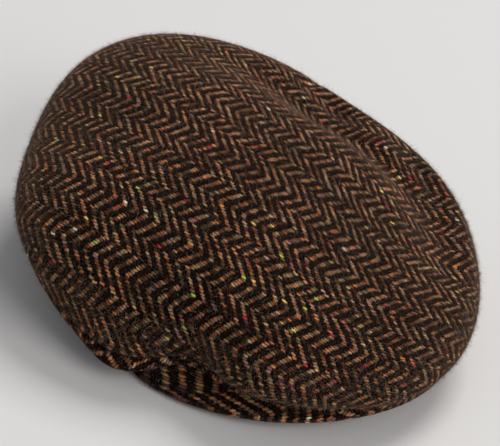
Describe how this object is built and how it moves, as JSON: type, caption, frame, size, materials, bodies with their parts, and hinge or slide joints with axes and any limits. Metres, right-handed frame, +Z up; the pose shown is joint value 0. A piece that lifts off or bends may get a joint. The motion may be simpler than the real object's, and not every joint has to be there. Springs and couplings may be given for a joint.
{
  "type": "flat cap",
  "caption": "Soft flat cap with a full, dented top in one piece of brown herringbone tweed, a thin curved peak under its front edge and an inner band",
  "frame": {"origin": "on the surface that the cap lies on, under the middle of its outline", "axes": "+Z up, -Y to the wearer's front, where the peak is, +X to the wearer's left"},
  "size_m": [0.2309, 0.2451, 0.079],
  "materials": {
    "crown_tweed": "napped herringbone wool tweed, rust and brown warp over near-black weft, coloured flecks",
    "side_tweed": "the same tweed, seen under the rim",
    "peak_tweed": "the same tweed stretched over a thin board, its stripes across the peak",
    "band_cloth": "plain dark ribbed band cloth"
  },
  "bodies": {
    "root": {"crown_top": "crown_tweed", "crown_side": "side_tweed", "peak": "peak_tweed", "band": "band_cloth"}
  },
  "joints": []
}
